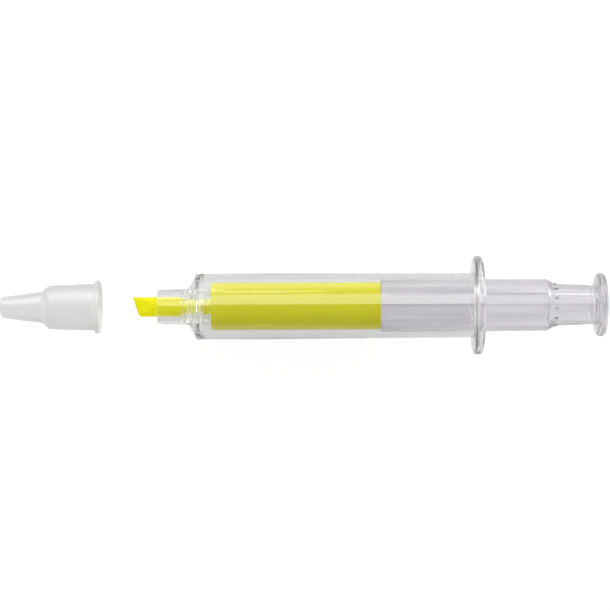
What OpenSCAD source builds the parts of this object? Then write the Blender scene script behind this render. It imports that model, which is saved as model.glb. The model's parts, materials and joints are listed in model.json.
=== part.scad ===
// Syringe-shaped highlighter, lying on a table with its cap pulled off in line with the nib.
// Every piece is drawn along the pen's own axis and then laid down by lay():
// +X runs from the cap to the thumb rest, +Y across the pen, +Z up, z = 0 is the table.
// Along the axis, positions are counted from the nib's point, rearwards.

/* [Barrel] */
// Outside diameter of the barrel's straight front stretch
barrel_d = 16.4; // [16:0.1:17]
// Outside diameter of the barrel where it meets the finger flange
barrel_rear_d = 16; // [15.6:0.1:16.4]
// Bore that holds the ink reservoir and the plunger tube
bore_d = 13.2; // [13.1:0.1:13.6]
// Diameter of the finger flange
flange_d = 24.6; // [22:0.2:28]
// Thickness of the finger flange
flange_t = 2.15; // [1.6:0.05:2.4]
// Diameter of the neck at its front edge
neck_d = 8.6; // [8.4:0.05:8.6]
// Diameter of the neck where the shoulder starts
neck_root_d = 8.85; // [8.7:0.05:8.85]

/* [Nib] */
// Width of the chisel and of the shank that the neck grips
nib_d = 4.9; // [4.6:0.1:4.9]
// How much further the long corner of the chisel reaches than the short one
nib_slant = 1.75; // [1:0.25:2.5]
// Thickness of the chisel's writing edge
nib_edge_t = 1.6; // [1:0.1:2.2]

/* [Ink reservoir] */
// Diameter of the reservoir over its film
reservoir_d = 12; // [11:0.1:12.4]
// Length of the fibre core
reservoir_len = 42; // [40:0.5:42]

/* [Plunger] */
// Diameter of the plunger tube where it leaves the barrel
plunger_d = 13.1; // [12.8:0.05:13.1]
// Diameter of the thumb rest's stem at the plunger tube
stem_d = 10.4; // [10:0.1:10.4]
// Diameter of the thumb disc
thumb_d = 15.8; // [14:0.2:18]
// Thickness of the thumb disc
thumb_t = 2.05; // [1.8:0.05:2.4]

/* [Cap] */
// Length of the cap
cap_len = 24.7; // [24:0.1:25.5]
// Outside diameter of the cap just in front of its rim
cap_d = 11.7; // [11.5:0.1:11.9]
// Diameter of the rim at the cap's mouth
cap_rim_d = 13.3; // [12.6:0.1:13.3]
// Free distance between the cap's mouth and the nib's point
cap_gap = 8.2; // [4:0.2:10]

/* [Hidden] */
smooth = 128;

// Stations along the axis
neck_s = 6.25;
shoulder_s = 14;
corner_s = 15.75;
straight_end_s = 34;
reservoir_s = 19.75;
flange_s = 85;
barrel_end_s = flange_s + flange_t;
plunger_s = reservoir_s + reservoir_len + 0.1;
plunger_taper_s = 103.25;
plunger_end_s = 104.75;
thumb_s = 115.7;
thumb_end_s = thumb_s + thumb_t;
cap_mouth_s = -cap_gap;
cap_tip_s = cap_mouth_s - cap_len;

// Roundings
corner_e = 0.4;
flange_e = 0.8;
thumb_e = 0.9;
cap_tip_e = 0.5;
cap_rim_e = 0.3;
neck_e = 0.3;
nib_e = 0.35;

// Neck bore: a smooth seat for the shank, then ribs that grip the tail
shank_bore_r = nib_d / 2 + 0.05;
shank_seat_s = 12.2;
tail_r = 2.03;
rib_r = 2;
groove_r = 2.45;
rib_count = 4;
rib_pitch = 1.6;
rib_w = 0.7;
first_groove_s = shank_seat_s + 0.35;
boss_r = 4.3;
boss_end_s = reservoir_s - 0.2;
bore_cone_s = 15.7;
bore_s = 17.2;

// The chisel's two flats run from its writing edge to the full thickness of the shank
flat_start_s = 0.4;
flat_end_s = neck_s - 1.4;

// Walls
film_t = 0.1;
core_r = reservoir_d / 2 - film_t - 0.02;
tube_r = 5.3;
stem_wall = 1.2;
bead_s = 82;
bead_r = bore_d / 2 + 0.03;
spigot_s = 103;
crush_s = 103.5;
crush_count = 12;
crush_r = tube_r + 0.03;
crush_w = 0.5;
crush_turn = 10;
pip_r = tube_r + 0.3;
pip_w = 0.8;
pip_end_s = 105.8;
core_hole_depth = 8;

// Cap, counted from its tip
tip_r = 2.6;
tip_root_r = 3.9;
tip_root_u = 10.4;
body_u = 11.9;
body_front_r = 5.45;
rim_w = 1.1;
mouth_r = 4.85;
ring_r = 4.45;
ring_u = 22.15;
ring_w = 0.6;
cap_floor = 1;
cap_wall = 0.9;

// The pen lies on the rounded front corner of its barrel and on the flange's front edge.
// tilt is the slope of the line that touches both roundings from below.
run_s = (flange_s + flange_e) - (corner_s + corner_e);
rise_r = (flange_d / 2 - flange_e) - (barrel_d / 2 - corner_e);
tilt = atan2(rise_r, run_s) + asin((flange_e - corner_e) / sqrt(run_s * run_s + rise_r * rise_r));
axis_z = corner_e + (barrel_d / 2 - corner_e) * cos(tilt) - (corner_s + corner_e) * sin(tilt);
low_x = (cap_tip_s + cap_tip_e) * cos(tilt) - (tip_r - cap_tip_e) * sin(tilt) - cap_tip_e;
high_x = (thumb_end_s - thumb_e) * cos(tilt) + (thumb_d / 2 - thumb_e) * sin(tilt) + thumb_e;

module lay() {
    translate([-(low_x + high_x) / 2, 0, axis_z]) rotate([0, -tilt, 0]) children();
}

// A profile drawn as [radius, station] and turned about the pen's axis
module turned() {
    rotate([0, 90, 0]) rotate_extrude($fn = smooth) children();
}

// Profile of a disc from one station to another, with both rims rounded
module disc_profile(r, from_s, to_s, e) {
    translate([0, from_s]) square([r - e, to_s - from_s]);
    translate([0, from_s + e]) square([r, to_s - from_s - 2 * e]);
    for (s = [from_s + e, to_s - e]) translate([r - e, s]) circle(r = e, $fn = 48);
}

module barrel_outside() {
    turned() {
        polygon([
            [0, neck_s], [neck_d / 2 - neck_e, neck_s], [neck_d / 2, neck_s + neck_e],
            [neck_root_d / 2, shoulder_s], [barrel_d / 2 - corner_e, corner_s],
            [barrel_d / 2 - corner_e, corner_s + corner_e], [barrel_d / 2, corner_s + corner_e],
            [barrel_d / 2, straight_end_s], [barrel_rear_d / 2, flange_s + flange_t / 2],
            [0, flange_s + flange_t / 2]
        ]);
        translate([barrel_d / 2 - corner_e, corner_s + corner_e]) circle(r = corner_e, $fn = 48);
        disc_profile(flange_d / 2, flange_s, barrel_end_s, flange_e);
    }
}

module neck_bore() {
    turned() {
        translate([0, neck_s - 1]) square([shank_bore_r, shank_seat_s - neck_s + 1]);
        translate([0, shank_seat_s - 1]) square([rib_r, boss_end_s - shank_seat_s + 2]);
        for (i = [0 : rib_count - 1])
            translate([0, first_groove_s + i * rib_pitch]) square([groove_r, rib_pitch - rib_w]);
    }
}

module main_bore() {
    turned() {
        polygon([
            [boss_r, bore_cone_s], [bore_d / 2, bore_s], [bore_d / 2, barrel_end_s + 1],
            [0, barrel_end_s + 1], [0, boss_end_s], [boss_r, boss_end_s]
        ]);
    }
}

module barrel() {
    color("lightcyan", 0.4) lay() difference() {
        barrel_outside();
        neck_bore();
        main_bore();
    }
}

// The chisel: an oblique end in plan, and two flats that close to the writing edge from above and below
module nib() {
    edge = nib_edge_t / 2;
    half = nib_d / 2;
    color("yellow") lay() union() {
        intersection() {
            turned() square([half, shank_seat_s]);
            linear_extrude(nib_d + 1, center = true)
                polygon([
                    [0, half - nib_e], [nib_e, half], [shank_seat_s + 1, half + 1],
                    [shank_seat_s + 1, -half - 1], [nib_slant + nib_e, -half], [nib_slant, -half + nib_e]
                ]);
            rotate([90, 0, 0]) linear_extrude(nib_d + 1, center = true)
                polygon([
                    [-1, -edge], [-1, edge], [flat_start_s, edge], [flat_end_s, half + 0.1],
                    [shank_seat_s + 1, half + 0.1], [shank_seat_s + 1, -half - 0.1],
                    [flat_end_s, -half - 0.1], [flat_start_s, -edge]
                ]);
        }
        turned() translate([0, shank_seat_s - 0.5])
            square([tail_r, reservoir_s + core_hole_depth - shank_seat_s + 0.3]);
    }
}

module ink_reservoir() {
    color("gold") lay() difference() {
        turned() translate([0, reservoir_s]) square([core_r, reservoir_len]);
        turned() translate([0, reservoir_s - 1]) square([tail_r + 0.05, core_hole_depth + 1]);
    }
}

module reservoir_film() {
    color("khaki", 0.5) lay() turned()
        translate([reservoir_d / 2 - film_t, reservoir_s]) square([film_t, reservoir_len]);
}

// The tube's front rim backs the reservoir; a bead near the flange holds it in the bore
module plunger_tube() {
    front_r = bore_d / 2 - 0.05;
    color("azure", 0.4) lay() difference() {
        turned() {
            polygon([
                [0, plunger_s], [front_r - 0.2, plunger_s], [front_r, plunger_s + 0.2],
                [plunger_d / 2, barrel_end_s], [plunger_d / 2 - 0.12, plunger_taper_s],
                [tube_r + 0.35, plunger_end_s], [0, plunger_end_s]
            ]);
            translate([0, bead_s]) square([bead_r, 1]);
        }
        turned() translate([0, plunger_s - 1]) square([tube_r, plunger_end_s]);
    }
}

// Ribs on the spigot bite into the plunger tube, and end in a ring of pips behind its rear end
module thumb_rest() {
    color("aliceblue", 0.4) lay() difference() {
        union() {
            turned() {
                polygon([
                    [0, spigot_s], [stem_d / 2 - 0.2, spigot_s], [stem_d / 2, spigot_s + 0.3],
                    [stem_d / 2, pip_end_s], [stem_d / 2 - 0.35, thumb_s - 0.6],
                    [stem_d / 2 + 0.1, thumb_s + 0.1], [0, thumb_s + 0.1]
                ]);
                disc_profile(thumb_d / 2, thumb_s, thumb_end_s, thumb_e);
            }
            for (i = [0 : crush_count - 1]) rotate([crush_turn + i * 360 / crush_count, 0, 0]) {
                translate([crush_s, -crush_w / 2, 0]) cube([pip_end_s - crush_s, crush_w, crush_r]);
                translate([plunger_end_s, -pip_w / 2, 0]) cube([pip_end_s - plunger_end_s, pip_w, pip_r]);
            }
        }
        turned() translate([0, spigot_s - 1]) square([stem_d / 2 - stem_wall, thumb_s - spigot_s]);
    }
}

module cap() {
    color("whitesmoke", 0.8) lay() translate([cap_tip_s, 0, 0]) difference() {
        turned() {
            polygon([
                [0, 0], [tip_r - cap_tip_e, 0], [tip_r - cap_tip_e, cap_tip_e], [tip_r + 0.07, cap_tip_e],
                [tip_root_r, tip_root_u], [body_front_r, body_u], [cap_d / 2, cap_len - rim_w],
                [cap_d / 2, cap_len - rim_w / 2], [0, cap_len - rim_w / 2]
            ]);
            translate([tip_r - cap_tip_e, cap_tip_e]) circle(r = cap_tip_e, $fn = 48);
            disc_profile(cap_rim_d / 2, cap_len - rim_w, cap_len, cap_rim_e);
        }
        turned() difference() {
            polygon([
                [0, cap_floor], [tip_r - cap_wall, cap_floor], [tip_root_r - cap_wall, tip_root_u + 0.5],
                [ring_r, body_u + 0.7],
                [mouth_r, cap_len - 2], [mouth_r, cap_len + 1], [0, cap_len + 1]
            ]);
            translate([ring_r, ring_u - ring_w / 2]) square([1, ring_w]);
        }
    }
}

cap();
barrel();
nib();
ink_reservoir();
reservoir_film();
plunger_tube();
thumb_rest();
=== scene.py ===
# A syringe-shaped highlighter lies on a pale table with its frosted cap pulled off in line with the nib.
# Each piece's corners are in millimetres, and become metres as the piece is laid down.
import json
import math

import bmesh
import bpy
from mathutils import Matrix, Vector


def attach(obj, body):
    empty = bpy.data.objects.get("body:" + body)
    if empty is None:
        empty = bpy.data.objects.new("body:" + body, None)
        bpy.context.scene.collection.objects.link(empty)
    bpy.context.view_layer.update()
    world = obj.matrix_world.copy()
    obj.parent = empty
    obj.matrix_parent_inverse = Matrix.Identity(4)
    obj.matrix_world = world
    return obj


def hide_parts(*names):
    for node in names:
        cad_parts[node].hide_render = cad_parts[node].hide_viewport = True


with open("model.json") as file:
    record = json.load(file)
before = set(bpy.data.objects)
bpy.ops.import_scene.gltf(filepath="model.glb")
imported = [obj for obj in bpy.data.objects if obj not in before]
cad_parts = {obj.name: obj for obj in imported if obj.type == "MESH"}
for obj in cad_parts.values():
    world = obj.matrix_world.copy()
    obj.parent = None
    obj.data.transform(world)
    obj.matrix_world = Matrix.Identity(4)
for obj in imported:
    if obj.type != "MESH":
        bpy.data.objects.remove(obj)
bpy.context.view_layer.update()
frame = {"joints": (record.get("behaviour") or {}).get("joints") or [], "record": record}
scene = bpy.context.scene
scene.view_settings.view_transform = "Standard"

# The pen's own axis. It climbs a little towards the thumb rest, because the pen lies on its barrel's
# front corner and on its finger flange. Stations along it are counted from the nib's point, rearwards.
MM = 0.001
THUMB_END = 117.75
axis = Vector(frame["joints"][0]["axis"]).normalized()
thumb_face = next(m for m in frame["record"]["mounts"] if m["name"] == "thumb_face")
nib_point = Vector(thumb_face["pos_m"]) - axis * THUMB_END * MM
across = Vector((0, 1, 0))
above = axis.cross(across)
lay = Matrix.Translation(nib_point) @ Matrix((axis, across, above)).transposed().to_4x4()
tilt = math.atan2(axis.z, axis.x)


# Camera: straight above the pen and square to its axis, with a long lens. Its place is in millimetres from
# the nib's point, and it is turned a little about its own line of sight.
CAMERA_STATION = 43.0
CAMERA_ACROSS = 0.28
CAMERA_HEIGHT = 464.0
CAMERA_ROLL = math.radians(0.29)
camera = bpy.data.objects.new("camera", bpy.data.cameras.new("camera"))
scene.collection.objects.link(camera)
scene.camera = camera
camera.data.lens = 109.6
camera.data.sensor_width = 36
camera.data.clip_start = 0.01
camera.matrix_world = (
    lay
    @ Matrix.Translation(Vector((CAMERA_STATION, CAMERA_ACROSS, CAMERA_HEIGHT)) * MM)
    @ Matrix.Rotation(-CAMERA_ROLL, 4, "Z")
)


# Studio: one long softbox on the far side of the pen, a lamp off each end that the barrel doesn't mirror,
# and a room that is dark overhead.
def softbox(name, lean, along, distance, width, length, watts):
    """A rectangular lamp, leaning from straight up by lean across the pen and by along towards an end."""
    lamp = bpy.data.lights.new(name, "AREA")
    lamp.shape = "RECTANGLE"
    lamp.size = length
    lamp.size_y = width
    lamp.energy = watts
    lit = bpy.data.objects.new(name, lamp)
    scene.collection.objects.link(lit)
    turn = Matrix.Rotation(math.radians(along), 4, "Y") @ Matrix.Rotation(math.radians(-lean), 4, "X")
    middle = Matrix.Translation(lay @ Vector((CAMERA_STATION * MM, 0, 0)))
    lit.matrix_world = middle @ turn @ Matrix.Translation((0, 0, distance))


softbox("softbox_far", 26, 0, 0.6, 0.42, 0.6, 1.3)
softbox("lamp_cap_end", 50, -50, 0.7, 0.4, 0.4, 1.5)
softbox("lamp_thumb_end", 50, 50, 0.7, 0.4, 0.4, 1.5)

# The room turns pale towards the horizon: most beyond the pen's ends, less on the far side, and least on
# the near side.
CEILING, WALLS = 0.03, 1.7
FADE_START, FADE_END = -0.55, -0.05
room = bpy.data.worlds.new("room")
scene.world = room
room.use_nodes = True
room_nodes, room_links = room.node_tree.nodes, room.node_tree.links
looking = room_nodes.new("ShaderNodeTexCoord")
upward = room_nodes.new("ShaderNodeVectorMath")
upward.operation = "DOT_PRODUCT"
upward.inputs[1].default_value = (0, -0.1, 0.9)
either_way = room_nodes.new("ShaderNodeVectorMath")
either_way.operation = "ABSOLUTE"
outward = room_nodes.new("ShaderNodeVectorMath")
outward.operation = "DOT_PRODUCT"
outward.inputs[1].default_value = (1, 0.33, 0)
height = room_nodes.new("ShaderNodeMath")
height.operation = "SUBTRACT"
fade = room_nodes.new("ShaderNodeMapRange")
fade.interpolation_type = "SMOOTHSTEP"
fade.inputs["From Min"].default_value = FADE_START
fade.inputs["From Max"].default_value = FADE_END
fade.inputs["To Min"].default_value = WALLS
fade.inputs["To Max"].default_value = CEILING
room_links.new(looking.outputs["Generated"], upward.inputs[0])
room_links.new(looking.outputs["Generated"], either_way.inputs[0])
room_links.new(either_way.outputs["Vector"], outward.inputs[0])
room_links.new(upward.outputs["Value"], height.inputs[0])
room_links.new(outward.outputs["Value"], height.inputs[1])
room_links.new(height.outputs["Value"], fade.inputs["Value"])
room_links.new(fade.outputs["Result"], room_nodes["Background"].inputs["Strength"])
room_nodes["Background"].inputs["Color"].default_value = (1, 1, 1, 1)


# Table: a plain matt sheet with a faint paper tooth, lit a little from below like a light table. It is
# white where it is seen beside the pen, and a pale grey to all that is seen through the pen or reflected
# in it.
TABLE_HALF = 2.0
TOOTH_SCALE, TOOTH_DEPTH, TOOTH_DULLEST, TOOTH_SMOOTHEST = 900, 0.00002, 0.85, 0.7


def new_material(name, **sockets):
    """A material with one Principled node, its sockets set by name; returns it with its node and tree."""
    made = bpy.data.materials.new(name)
    made.use_nodes = True
    shader = made.node_tree.nodes["Principled BSDF"]
    for socket, value in sockets.items():
        shader.inputs[socket.replace("_", " ")].default_value = value
    return made, shader, made.node_tree


def grain(tree, shader, scale, stretch, depth, low, high):
    """Noise along the pen that varies the roughness between low and high and bumps the surface by depth."""
    nodes, links = tree.nodes, tree.links
    place = nodes.new("ShaderNodeTexCoord")
    along = nodes.new("ShaderNodeMapping")
    along.inputs["Rotation"].default_value = (0, tilt, 0)
    along.inputs["Scale"].default_value = stretch
    noise = nodes.new("ShaderNodeTexNoise")
    noise.inputs["Scale"].default_value = scale
    noise.inputs["Detail"].default_value = 3
    spread = nodes.new("ShaderNodeMapRange")
    spread.inputs["To Min"].default_value = low
    spread.inputs["To Max"].default_value = high
    bump = nodes.new("ShaderNodeBump")
    bump.inputs["Distance"].default_value = depth
    links.new(place.outputs["Object"], along.inputs["Vector"])
    links.new(along.outputs["Vector"], noise.inputs["Vector"])
    links.new(noise.outputs["Fac"], spread.inputs["Value"])
    links.new(spread.outputs["Result"], shader.inputs["Roughness"])
    links.new(noise.outputs["Fac"], bump.inputs["Height"])
    links.new(bump.outputs["Normal"], shader.inputs["Normal"])


table = bpy.data.meshes.new("table")
sheet = bmesh.new()
bmesh.ops.create_grid(sheet, x_segments=8, y_segments=8, size=TABLE_HALF)
sheet.to_mesh(table)
sheet.free()
floor = bpy.data.objects.new("table", table)
scene.collection.objects.link(floor)
paper, paper_shader, paper_tree = new_material(
    "pale_paper", Base_Color=(0.25, 0.25, 0.25, 1), Emission_Color=(1, 1, 1, 1), Emission_Strength=0.5)
grain(paper_tree, paper_shader, TOOTH_SCALE, (1, 1, 1), TOOTH_DEPTH, TOOTH_SMOOTHEST, TOOTH_DULLEST)
bright_shader = paper_tree.nodes.new("ShaderNodeBsdfPrincipled")
bright_shader.inputs["Base Color"].default_value = (0.15, 0.15, 0.15, 1)
bright_shader.inputs["Emission Color"].default_value = (1, 1, 1, 1)
bright_shader.inputs["Emission Strength"].default_value = 0.9
grain(paper_tree, bright_shader, TOOTH_SCALE, (1, 1, 1), TOOTH_DEPTH, TOOTH_SMOOTHEST, TOOTH_DULLEST)
paper_path = paper_tree.nodes.new("ShaderNodeLightPath")
paper_mix = paper_tree.nodes.new("ShaderNodeMixShader")
paper_tree.links.new(paper_path.outputs["Is Camera Ray"], paper_mix.inputs["Fac"])
paper_tree.links.new(paper_shader.outputs["BSDF"], paper_mix.inputs[1])
paper_tree.links.new(bright_shader.outputs["BSDF"], paper_mix.inputs[2])
paper_tree.links.new(paper_mix.outputs["Shader"], paper_tree.nodes["Material Output"].inputs["Surface"])
table.materials.append(paper)


# Barrel: one injection moulding in clear polystyrene, with the neck, the sloping shoulder, the tube and the
# round finger flange in one piece. Inside the shoulder a boss reaches back, and its ribs grip the nib.
SEGMENTS = 192
SHARP = math.radians(25)


def turned(name, corners, body, node, materials, change=None):
    """Turns an outline about the pen's axis. corners are (station, radius, rounding), and change may work
    on the turned mesh before it is laid down. The last material goes on the faces that look inwards."""
    form = bmesh.new()
    points = [form.verts.new((station, 0, radius)) for station, radius, rounding in corners]
    form.faces.new(points)
    for point, (_, _, rounding) in zip(points, corners):
        if rounding:
            bmesh.ops.bevel(form, geom=[point], offset=rounding, offset_type="OFFSET", affect="VERTICES",
                            segments=6, profile=0.5, material=-1)
    bmesh.ops.delete(form, geom=form.faces[:], context="FACES_ONLY")
    on_axis = [e for e in form.edges if all(v.co.z < 1e-6 for v in e.verts)]
    bmesh.ops.delete(form, geom=on_axis, context="EDGES")
    bmesh.ops.spin(form, geom=form.verts[:] + form.edges[:], cent=(0, 0, 0), axis=(1, 0, 0),
                   angle=2 * math.pi, steps=SEGMENTS, use_merge=True)
    bmesh.ops.remove_doubles(form, verts=form.verts[:], dist=1e-5)
    bmesh.ops.recalc_face_normals(form, faces=form.faces[:])
    for face in form.faces:
        middle = face.calc_center_median()
        if face.normal.y * middle.y + face.normal.z * middle.z < 0:
            face.material_index = len(materials) - 1
    if change:
        change(form)
    finished(form, name, body, node, materials)


def finished(form, name, body, node, materials):
    """Lays a mesh down, smooths what isn't a sharp edge, and gives the piece its materials and its body."""
    for face in form.faces:
        face.smooth = True
    for edge in form.edges:
        edge.smooth = edge.calc_face_angle(0) < SHARP
    form.transform(lay @ Matrix.Scale(MM, 4))
    mesh = bpy.data.meshes.new(name)
    form.to_mesh(mesh)
    form.free()
    piece = bpy.data.objects.new(name, mesh)
    scene.collection.objects.link(piece)
    for material in materials:
        mesh.materials.append(material)
    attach(piece, body)
    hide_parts(node)


def let_lamps_through(tree, shader, shade):
    """Lamps shine through this material, dimmed by shade at each face, so what it holds is lit."""
    nodes, links = tree.nodes, tree.links
    path = nodes.new("ShaderNodeLightPath")
    through = nodes.new("ShaderNodeBsdfTransparent")
    through.inputs["Color"].default_value = (shade, shade, shade, 1)
    mix = nodes.new("ShaderNodeMixShader")
    links.new(path.outputs["Is Shadow Ray"], mix.inputs["Fac"])
    links.new(shader.outputs["BSDF"], mix.inputs[1])
    links.new(through.outputs["BSDF"], mix.inputs[2])
    links.new(mix.outputs["Shader"], nodes["Material Output"].inputs["Surface"])


def clear_plastic(name, colour, clearness, shade):
    """Polished clear polystyrene. What clearness leaves out is a faint milkiness."""
    made, shader, tree = new_material(name, Base_Color=colour, IOR=1.59, Transmission_Weight=clearness)
    grain(tree, shader, 60, (0.2, 1, 1), 0.0000003, 0.0, 0.02)
    let_lamps_through(tree, shader, shade)
    return made


# Light is handed on between the polished walls many times before it comes out.
scene.cycles.max_bounces = 24
scene.cycles.glossy_bounces = 24
scene.cycles.transmission_bounces = 24
# A moulding's outside carries a faint grey and its bore hardly any. This grey is painted shade that dims the
# clear walls.
clear = clear_plastic("clear_polystyrene", (0.92, 0.92, 0.92, 1), 0.99, 0.95)
clear_bore = clear_plastic("clear_polystyrene_bore", (0.99, 0.99, 0.99, 1), 0.99, 0.95)
NECK, SEAT, SHOULDER, CORNER, BOSS_END = 6.25, 12.2, 14.0, 15.96, 19.55
STRAIGHT_END, FLANGE, BARREL_END = 34.0, 85.0, 87.15
BARREL_R, BARREL_REAR_R, FLANGE_R, BORE_R, BOSS_R, SHANK_BORE_R = 8.2, 8.0, 12.3, 6.6, 4.3, 2.5
BORE_CONE, BORE = 15.7, 17.2
GRIP_RIBS, RIB_PITCH, RIB_WIDTH, FIRST_RIB_WIDTH = 4, 1.6, 0.7, 0.35
RIB_R, GROOVE_R, RIB_ROUNDING, GROOVE_ROUNDING = 2.0, 2.5, 0.2, 0.28
grooves = []
for i in reversed(range(GRIP_RIBS)):
    start = SEAT + FIRST_RIB_WIDTH + i * RIB_PITCH
    end = start + RIB_PITCH - RIB_WIDTH
    grooves += [
        (end, RIB_R, RIB_ROUNDING), (end, GROOVE_R, GROOVE_ROUNDING),
        (start, GROOVE_R, GROOVE_ROUNDING), (start, RIB_R, RIB_ROUNDING),
    ]


def flange_painted_light(form):
    """The flange's rim and faces take the bore's paler grey: painted light that makes them as bright as the
    bore.
    """
    for face in form.faces:
        middle = face.calc_center_median()
        if middle.x > FLANGE - 0.1 and math.hypot(middle.y, middle.z) > BARREL_REAR_R + 0.1:
            face.material_index = 1


turned("barrel", [
    (NECK, SHANK_BORE_R, 0.15), (NECK, 4.3, 0.3), (SHOULDER, 4.425, 0.4), (CORNER, BARREL_R, 0.4),
    (STRAIGHT_END, BARREL_R, 0), (FLANGE, BARREL_REAR_R, 0.3), (FLANGE, FLANGE_R, 0.8),
    (BARREL_END, FLANGE_R, 0.8), (BARREL_END, BORE_R, 0.2), (BORE, BORE_R, 0.9),
    (BORE_CONE, BOSS_R, 0.15), (BOSS_END, BOSS_R, 0.2), (BOSS_END, RIB_R, 0.15),
    *grooves, (SEAT, RIB_R, 0.1), (SEAT, SHANK_BORE_R, 0),
], "pen", "barrel", (clear, clear_bore), flange_painted_light)


# Nib: bonded polyester fibre cut to a slanted chisel, with a round shank in the neck and a thinner tail
# that reaches into the reservoir and draws ink from it.
NIB_R, NIB_SLANT, EDGE_HALF, FULL_AT = 2.45, 1.75, 0.8, 4.85
ROD_START, TAIL_R, TAIL_END = -2, 1.95, 27.5
# The fibre also glows yellow by an emission of its own: painted light that evens out its shading.
fibre, fibre_shader, fibre_tree = new_material(
    "nib_fibre", Base_Color=(0.36, 0.35, 0.002, 1), Specular_IOR_Level=0.12,
    Emission_Color=(1, 0.97, 0.008, 1), Emission_Strength=0.47)
grain(fibre_tree, fibre_shader, 700, (0.15, 1, 1), 0.00003, 0.5, 0.75)
form = bmesh.new()
bmesh.ops.create_cone(form, segments=64, radius1=NIB_R, radius2=NIB_R, depth=SEAT - ROD_START, cap_ends=True)
bmesh.ops.rotate(form, verts=form.verts[:], matrix=Matrix.Rotation(math.pi / 2, 3, "Y"))
bmesh.ops.translate(form, verts=form.verts[:], vec=((SEAT + ROD_START) / 2, 0, 0))
# The rod is cut three times: two flats that close to the writing edge, and the slant of the chisel.
cuts = [
    ((0, 0, EDGE_HALF), (EDGE_HALF - NIB_R, 0, FULL_AT)),
    ((0, 0, -EDGE_HALF), (EDGE_HALF - NIB_R, 0, -FULL_AT)),
    ((NIB_SLANT, -NIB_R, 0), (-2 * NIB_R, -NIB_SLANT, 0)),
]
for place, normal in cuts:
    cut = bmesh.ops.bisect_plane(form, geom=form.verts[:] + form.edges[:] + form.faces[:], plane_co=place,
                                 plane_no=normal, clear_outer=True)
    rim = [e for e in cut["geom_cut"] if isinstance(e, bmesh.types.BMEdge)]
    bmesh.ops.contextual_create(form, geom=rim)
# The tail is a little thinner than the ribs' bore, so a film of air is left round it.
rear = max(form.faces, key=lambda face: face.calc_center_median().x)
bmesh.ops.inset_region(form, faces=[rear], thickness=NIB_R - TAIL_R)
tail = bmesh.ops.extrude_face_region(form, geom=[rear])
tail_rim = [v for v in tail["geom"] if isinstance(v, bmesh.types.BMVert)]
bmesh.ops.translate(form, verts=tail_rim, vec=(TAIL_END - SEAT, 0, 0))
bmesh.ops.delete(form, geom=[rear], context="FACES_ONLY")
bmesh.ops.recalc_face_normals(form, faces=form.faces[:])
chisel_edges = [e for e in form.edges if e.calc_face_angle(0) > math.radians(20)
                and all(v.co.x < NECK for v in e.verts)]
bmesh.ops.bevel(form, geom=chisel_edges, offset=0.3, offset_type="OFFSET", affect="EDGES", segments=3,
                profile=0.5, material=-1)
finished(form, "nib", "pen", "nib", (fibre,))


# Ink reservoir: a bundle of polyester fibre soaked with fluorescent ink, cut square at both ends, with a
# hole in front for the nib's tail.
RESERVOIR, RESERVOIR_END, CORE_R = 19.75, 61.75, 5.88
HOLE_R, HOLE_END = 2.08, RESERVOIR + 8
# The bundle glows yellow by an emission of its own: painted light that lifts its shaded side.
soaked, soaked_shader, soaked_tree = new_material(
    "soaked_fibre_painted_glow", Base_Color=(0.5, 0.476, 0.003, 1), Specular_IOR_Level=0.1,
    Emission_Color=(1, 0.96, 0.01, 1), Emission_Strength=0.2)
grain(soaked_tree, soaked_shader, 500, (0.05, 1, 1), 0.00004, 0.5, 0.7)
turned("ink_reservoir", [
    (RESERVOIR, HOLE_R, 0.05), (RESERVOIR, CORE_R, 0.2), (RESERVOIR_END, CORE_R, 0.2),
    (RESERVOIR_END, 0, 0), (HOLE_END, 0, 0), (HOLE_END, HOLE_R, 0),
], "pen", "ink_reservoir", (soaked,))


# Reservoir film: a thin clear wrap that holds the fibre bundle together, open at both ends. It slides into
# the barrel's bore with the bundle.
FILM_BORE_R, FILM_R = 5.9, 6.0
film, film_shader, film_tree = new_material(
    "clear_film", Base_Color=(0.8, 0.8, 0.02, 1), IOR=1.49, Alpha=0.04)
grain(film_tree, film_shader, 90, (0.2, 1, 1), 0.00001, 0.08, 0.16)
turned("reservoir_film", [
    (RESERVOIR, FILM_BORE_R, 0), (RESERVOIR, FILM_R, 0.03), (RESERVOIR_END, FILM_R, 0.03),
    (RESERVOIR_END, FILM_BORE_R, 0),
], "pen", "reservoir_film", (film,))


# Plunger tube: a clear tube whose front rim backs the reservoir. It is pressed into the bore and stands out
# behind the flange.
PLUNGER, PLUNGER_TAPER, PLUNGER_END = 61.85, 103.25, 104.75
PLUNGER_R, TUBE_R = 6.55, 5.3
# The plug's outside carries a lilac grey and its bore hardly any. The lilac is the plastic's own; the grey
# is painted shade that dims it.
plug = clear_plastic("clear_plug", (0.78, 0.77, 0.8, 1), 0.95, 0.95)
plug_bore = clear_plastic("clear_plug_bore", (0.98, 0.975, 0.99, 1), 0.95, 0.95)
turned("plunger_tube", [
    (PLUNGER, PLUNGER_R, 0.2), (BARREL_END, PLUNGER_R, 0), (PLUNGER_TAPER, 6.43, 0.4),
    (PLUNGER_END, 5.65, 0.2), (PLUNGER_END, TUBE_R, 0.05), (PLUNGER, TUBE_R, 0.1),
], "pen", "plunger_tube", (plug, plug_bore))


# Thumb rest: a clear stepped stem with a thumb disc, pressed into the plunger tube. The ribs that bite into
# the tube end in a ring of small pips at the joint, given a dark milky grey that is painted shade for the
# dark their steep sides show.
THUMB, THUMB_R, SPIGOT = 115.7, 7.9, 103
STEM_R, STEM_BORE_R, STEM_FLOOR = 5.2, 4.0, 114.9
PIP_START, PIP_END, PIPS = 104.8, 105.8, 12
PIP_TURN, PIP_HALF_TURN = 10, 4
# A darker, milkier copy of the plug's plastic: painted shade for the pips.
plug_painted_shade = clear_plastic("clear_plug_painted_shade", (0.45, 0.444, 0.465, 1), 0.7, 0.8)


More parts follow.
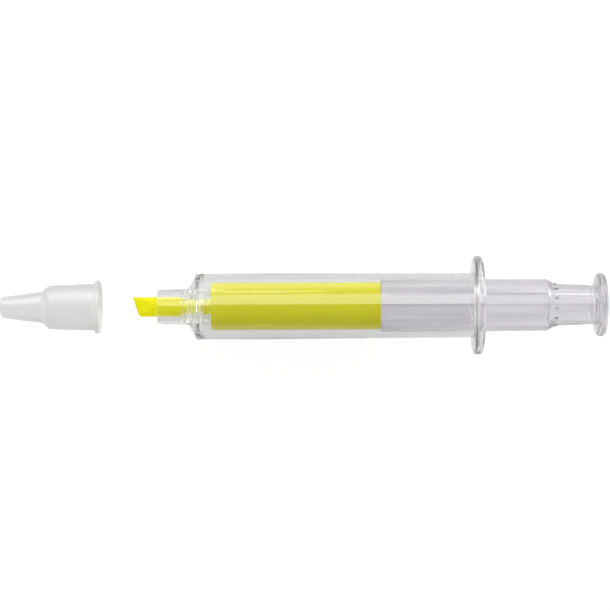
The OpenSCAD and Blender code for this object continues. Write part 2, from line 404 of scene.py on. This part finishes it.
def raise_pips(form):
    """Raises a small domed pip on the stem at each crush rib's end, in the dark grey that is painted shade.
    """
    tops = []
    for face in form.faces:
        place = face.calc_center_median()
        radius = math.hypot(place.y, place.z)
        turn = (math.degrees(math.atan2(place.z, place.y)) - PIP_TURN) % (360 / PIPS)
        on_rib = min(turn, 360 / PIPS - turn) < PIP_HALF_TURN
        if PIP_START < place.x < PIP_END and radius > STEM_R - 0.1 and on_rib:
            tops.append(face)
    sides = bmesh.ops.inset_region(form, faces=tops, thickness=0.08, depth=0.2, use_even_offset=True)
    slopes = bmesh.ops.inset_region(form, faces=tops, thickness=0.12, depth=0.12, use_even_offset=True)
    for face in tops + sides["faces"] + slopes["faces"]:
        face.material_index = 1


turned("thumb_rest", [
    (SPIGOT, STEM_BORE_R, 0.15), (SPIGOT, STEM_R, 0.3), (PIP_START, STEM_R, 0), (PIP_END, STEM_R, 0),
    (115.1, 4.85, 0.5), (THUMB, 5.3, 0.15), (THUMB, THUMB_R, 0.9), (THUMB_END, THUMB_R, 0.9),
    (THUMB_END, 0, 0), (STEM_FLOOR, 0, 0), (STEM_FLOOR, STEM_BORE_R, 0.4),
], "pen", "thumb_rest", (plug, plug_painted_shade, plug_bore), raise_pips)


# Cap: natural polypropylene with a fine matt surface, so it lets light through but blurs what is behind it.
# It has a conical tip, a chamfered step, a rim at the mouth, and a ring inside that grips the neck.
CAP_TIP, CAP_LENGTH, RIM_FRONT, RIM_R = -32.9, 24.7, 23.6, 6.65
MOUTH_R, RING_R, TIP_FLOOR = 4.85, 4.45, 1
frosted, frosted_shader, frosted_tree = new_material(
    "frosted_polypropylene", Base_Color=(0.91, 0.91, 0.91, 1), IOR=1.49, Transmission_Weight=0.92)
grain(frosted_tree, frosted_shader, 900, (1, 1, 1), 0.000001, 0.31, 0.36)
let_lamps_through(frosted_tree, frosted_shader, 0.82)
cap_outline = [
    (0, 0, 0), (0, 2.6, 0.5), (10.4, 3.9, 0.2), (11.9, 5.45, 0.25), (RIM_FRONT, 5.85, 0.15),
    (RIM_FRONT, RIM_R, 0.3), (CAP_LENGTH, RIM_R, 0.3), (CAP_LENGTH, MOUTH_R, 0.15),
    (22.7, MOUTH_R, 0.1), (22.45, RING_R, 0.1), (21.85, RING_R, 0.1), (21.6, 4.8, 0.1),
    (12.6, 4.45, 0.3), (10.9, 3.0, 0.3), (TIP_FLOOR, 1.7, 0.3), (TIP_FLOOR, 0, 0),
]
turned("cap", [(CAP_TIP + station, radius, rounding) for station, radius, rounding in cap_outline],
       "cap", "cap", (frosted,))
